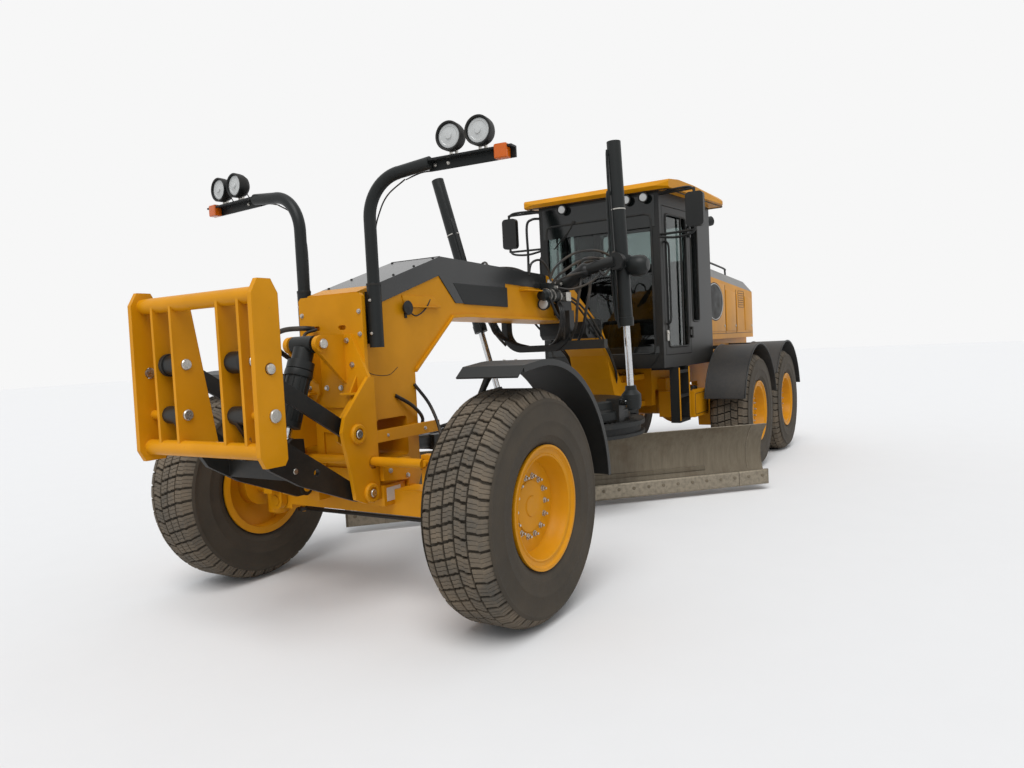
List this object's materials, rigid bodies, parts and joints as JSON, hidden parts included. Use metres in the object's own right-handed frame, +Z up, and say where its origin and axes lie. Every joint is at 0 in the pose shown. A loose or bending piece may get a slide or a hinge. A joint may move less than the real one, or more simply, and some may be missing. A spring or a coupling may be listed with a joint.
{
  "type": "motor grader",
  "caption": "Articulated motor grader with tandem rear wheels, a gooseneck frame, a turning circle with its blade, a cab and a front lift group.",
  "frame": {"origin": "on the ground under the middle of the whole machine's box, with the blade as it is parked", "axes": "+X to the front of the machine, +Y to its left, +Z up"},
  "size_m": [9.192, 3.0428, 3.3314],
  "materials": {
    "yellow_paint": "semi-gloss machine yellow",
    "black_paint": "satin black enamel",
    "dark_grey_paint": "satin dark grey enamel",
    "grey_panel": "matt grey non-slip panels",
    "black_plastic": "textured black moulding",
    "cab_glass": "lightly tinted safety glass",
    "tyre_rubber": "dusty black rubber",
    "worn_steel": "earth-worn bare steel",
    "rod_chrome": "hard chrome",
    "cast_iron": "engine enamel"
  },
  "bodies": {
    "rear_frame": {"rear_chassis": "yellow_paint", "cab_frame": "black_paint", "cab_roof": "yellow_paint", "cab_glass": "cab_glass", "cab_interior": "black_plastic", "engine_hood": "yellow_paint", "hood_top": "grey_panel", "engine_block": "cast_iron", "rear_grille": "black_plastic", "exhaust_stack": "black_paint", "rear_axle": "yellow_paint", "rear_fenders": "dark_grey_paint", "cab_steps": "black_plastic"},
    "cab_door_left": {"door_left": "black_paint", "door_left_glass": "cab_glass"},
    "cab_door_right": {"door_right": "black_paint", "door_right_glass": "cab_glass"},
    "wheel_left_fore": {"rim_left_fore": "yellow_paint", "tyre_left_fore": "tyre_rubber"},
    "wheel_left_aft": {"rim_left_aft": "yellow_paint", "tyre_left_aft": "tyre_rubber"},
    "wheel_right_fore": {"rim_right_fore": "yellow_paint", "tyre_right_fore": "tyre_rubber"},
    "wheel_right_aft": {"rim_right_aft": "yellow_paint", "tyre_right_aft": "tyre_rubber"},
    "front_frame_body": {"front_frame": "yellow_paint", "frame_cover": "grey_panel", "lift_bracket": "yellow_paint", "light_masts": "dark_grey_paint", "front_axle": "yellow_paint", "saddle": "black_paint"},
    "lean_left": {"lean_bracket_left": "yellow_paint"},
    "lean_right": {"lean_bracket_right": "yellow_paint"},
    "lean_link": {"lean_bar": "yellow_paint"},
    "steer_left": {"knuckle_left": "yellow_paint", "fender_left": "black_plastic"},
    "steer_right": {"knuckle_right": "yellow_paint", "fender_right": "black_plastic"},
    "steer_yoke": {"tie_yoke": "yellow_paint"},
    "steer_link": {"tie_rod": "black_paint"},
    "wheel_front_left": {"rim_front_left": "yellow_paint", "tyre_front_left": "tyre_rubber"},
    "wheel_front_right": {"rim_front_right": "yellow_paint", "tyre_front_right": "tyre_rubber"},
    "drawbar_body": {"drawbar": "black_paint"},
    "circle_body": {"circle_gear": "dark_grey_paint"},
    "pitch_frame": {"blade_arms": "black_paint"},
    "blade": {"moldboard": "worn_steel"},
    "cylinder_left": {"lift_barrel_left": "dark_grey_paint"},
    "cylinder_left_rod": {"lift_rod_left": "rod_chrome"},
    "cylinder_right": {"lift_barrel_right": "dark_grey_paint"},
    "cylinder_right_rod": {"lift_rod_right": "rod_chrome"},
    "lift_arm": {"lower_arm": "black_paint"},
    "lift_links": {"upper_links": "black_paint"},
    "lift_carrier": {"carrier": "yellow_paint"},
    "nose_cylinder": {"front_cylinder": "dark_grey_paint"},
    "nose_cylinder_rod": {"front_rod": "rod_chrome"}
  },
  "joints": [
    {"name": "articulation", "type": "hinge", "parent": "rear_frame", "child": "front_frame_body", "pos_m": [-0.616, -0.113, 1], "axis": [0, 0, -1], "range_deg": [-22, 22]},
    {"name": "door_left_swing", "type": "hinge", "parent": "rear_frame", "child": "cab_door_left", "pos_m": [-1.12162, 0.67063, 2], "axis": [0, 0, 1], "range_deg": [0, 80]},
    {"name": "door_right_swing", "type": "hinge", "parent": "rear_frame", "child": "cab_door_right", "pos_m": [-1.12162, -0.89663, 2], "axis": [0, 0, -1], "range_deg": [0, 80]},
    {"name": "spin_left_fore", "type": "hinge", "parent": "rear_frame", "child": "wheel_left_fore", "pos_m": [-2.026, 0.9605, 0.672], "axis": [0, 1, 0], "continuous": true},
    {"name": "spin_left_aft", "type": "hinge", "parent": "rear_frame", "child": "wheel_left_aft", "pos_m": [-3.566, 0.9605, 0.672], "axis": [0, 1, 0], "continuous": true},
    {"name": "spin_right_fore", "type": "hinge", "parent": "rear_frame", "child": "wheel_right_fore", "pos_m": [-2.026, -1.1865, 0.672], "axis": [0, 1, 0], "continuous": true},
    {"name": "spin_right_aft", "type": "hinge", "parent": "rear_frame", "child": "wheel_right_aft", "pos_m": [-3.566, -1.1865, 0.672], "axis": [0, 1, 0], "continuous": true},
    {"name": "lean_left_tilt", "type": "hinge", "parent": "front_frame_body", "child": "lean_left", "pos_m": [3.364, 0.577, 0.6], "axis": [1, 0, 0], "range_deg": [-18, 18]},
    {"name": "lean_right_tilt", "type": "hinge", "parent": "front_frame_body", "child": "lean_right", "pos_m": [3.364, -0.803, 0.6], "axis": [1, 0, 0], "range_deg": [-18, 18]},
    {"name": "lean_bar_tilt", "type": "hinge", "parent": "lean_left", "child": "lean_link", "pos_m": [3.609, 0.577, 0.93], "axis": [1, 0, 0], "range_deg": [-18, 18]},
    {"name": "steer_left_turn", "type": "hinge", "parent": "lean_left", "child": "steer_left", "pos_m": [3.364, 0.727, 0.6], "axis": [0, 0, 1], "range_deg": [-42, 42]},
    {"name": "steer_right_turn", "type": "hinge", "parent": "lean_right", "child": "steer_right", "pos_m": [3.364, -0.953, 0.6], "axis": [0, 0, 1], "range_deg": [-42, 42]},
    {"name": "tie_yoke_turn", "type": "hinge", "parent": "steer_left", "child": "steer_yoke", "pos_m": [3.129, 0.727, 0.456], "axis": [0, 0, 1], "range_deg": [-43, 43]},
    {"name": "tie_rod_tilt", "type": "hinge", "parent": "steer_yoke", "child": "steer_link", "pos_m": [3.129, 0.667, 0.456], "axis": [1, 0, 0], "range_deg": [-18, 18]},
    {"name": "spin_front_left", "type": "hinge", "parent": "steer_left", "child": "wheel_front_left", "pos_m": [3.364, 1.045, 0.672], "axis": [0, 1, 0], "continuous": true},
    {"name": "spin_front_right", "type": "hinge", "parent": "steer_right", "child": "wheel_front_right", "pos_m": [3.364, -1.271, 0.672], "axis": [0, 1, 0], "continuous": true},
    {"name": "blade_lift", "type": "hinge", "parent": "front_frame_body", "child": "drawbar_body", "pos_m": [2.934, -0.113, 0.93], "axis": [0, 1, 0], "range_deg": [-1, 10]},
    {"name": "cylinder_left_swing", "type": "hinge", "parent": "front_frame_body", "child": "cylinder_left", "pos_m": [0.764, 0.662, 2.27], "axis": [0.2399, -0.9703, -0.0311], "range_deg": [-1.28, 4.27]},
    {"name": "cylinder_left_stroke", "type": "slide", "parent": "cylinder_left", "child": "cylinder_left_rod", "axis": [0, 0.032, -0.9995], "range_m": [-0.398, 0.058]},
    {"name": "cylinder_right_swing", "type": "hinge", "parent": "front_frame_body", "child": "cylinder_right", "pos_m": [0.764, -1.025, 2.27], "axis": [0.9024, -0.4148, -0.1168], "range_deg": [-1.64, 7.86]},
    {"name": "cylinder_right_stroke", "type": "slide", "parent": "cylinder_right", "child": "cylinder_right_rod", "axis": [0, 0.2711, -0.9626], "range_m": [-0.379, 0.056]},
    {"name": "circle_turn", "type": "hinge", "parent": "drawbar_body", "child": "circle_body", "pos_m": [0.674, -0.013, 0.72], "axis": [0, 0, 1], "continuous": true},
    {"name": "blade_pitch", "type": "hinge", "parent": "circle_body", "child": "pitch_frame", "pos_m": [0.5867, -0.10246, 0.45], "axis": [-0.7157, 0.6984, 0], "range_deg": [-5, 40]},
    {"name": "blade_side_shift", "type": "slide", "parent": "pitch_frame", "child": "blade", "axis": [-0.7157, 0.6984, 0], "range_m": [-0.5, 0.5]},
    {"name": "front_lift", "type": "hinge", "parent": "front_frame_body", "child": "lift_arm", "pos_m": [3.647, -0.113, 0.744], "axis": [0, -1, 0], "range_deg": [-40, 4]},
    {"name": "front_link_swing", "type": "hinge", "parent": "front_frame_body", "child": "lift_links", "pos_m": [3.734, -0.113, 1.11], "axis": [0, -1, 0], "range_deg": [-47.8, 6.6]},
    {"name": "carrier_tilt", "type": "hinge", "parent": "lift_arm", "child": "lift_carrier", "pos_m": [4.494, -0.113, 1.3], "axis": [0, -1, 0], "range_deg": [-7.1, 52.9]},
    {"name": "nose_cylinder_swing", "type": "hinge", "parent": "front_frame_body", "child": "nose_cylinder", "pos_m": [3.804, -0.113, 1.65], "axis": [0, -1, 0], "range_deg": [-1.18, 2.79]},
    {"name": "nose_cylinder_stroke", "type": "slide", "parent": "nose_cylinder", "child": "nose_cylinder_rod", "axis": [0.3502, 0, -0.9367], "range_m": [-0.054, 0.36]}
  ],
  "couplings": [
    {"joint": "lean_right_tilt", "follows": "lean_left_tilt", "ratio": 1},
    {"joint": "lean_bar_tilt", "follows": "lean_left_tilt", "ratio": -1},
    {"joint": "steer_right_turn", "follows": "steer_left_turn", "ratio": 1},
    {"joint": "tie_yoke_turn", "follows": "steer_left_turn", "ratio": -1},
    {"joint": "tie_rod_tilt", "follows": "lean_left_tilt", "ratio": -0.854},
    {"joint": "cylinder_left_swing", "follows": "blade_lift", "ratio": 0.27928},
    {"joint": "cylinder_left_stroke", "follows": "blade_lift", "m_per_rad": -2.1639},
    {"joint": "cylinder_right_swing", "follows": "blade_lift", "ratio": 0.63814},
    {"joint": "cylinder_right_stroke", "follows": "blade_lift", "m_per_rad": -2.0559},
    {"joint": "front_link_swing", "follows": "front_lift", "ratio": 1.145},
    {"joint": "carrier_tilt", "follows": "front_lift", "ratio": -1.273},
    {"joint": "nose_cylinder_swing", "follows": "front_lift", "ratio": -0.04483},
    {"joint": "nose_cylinder_stroke", "follows": "front_lift", "m_per_rad": -0.48667}
  ]
}
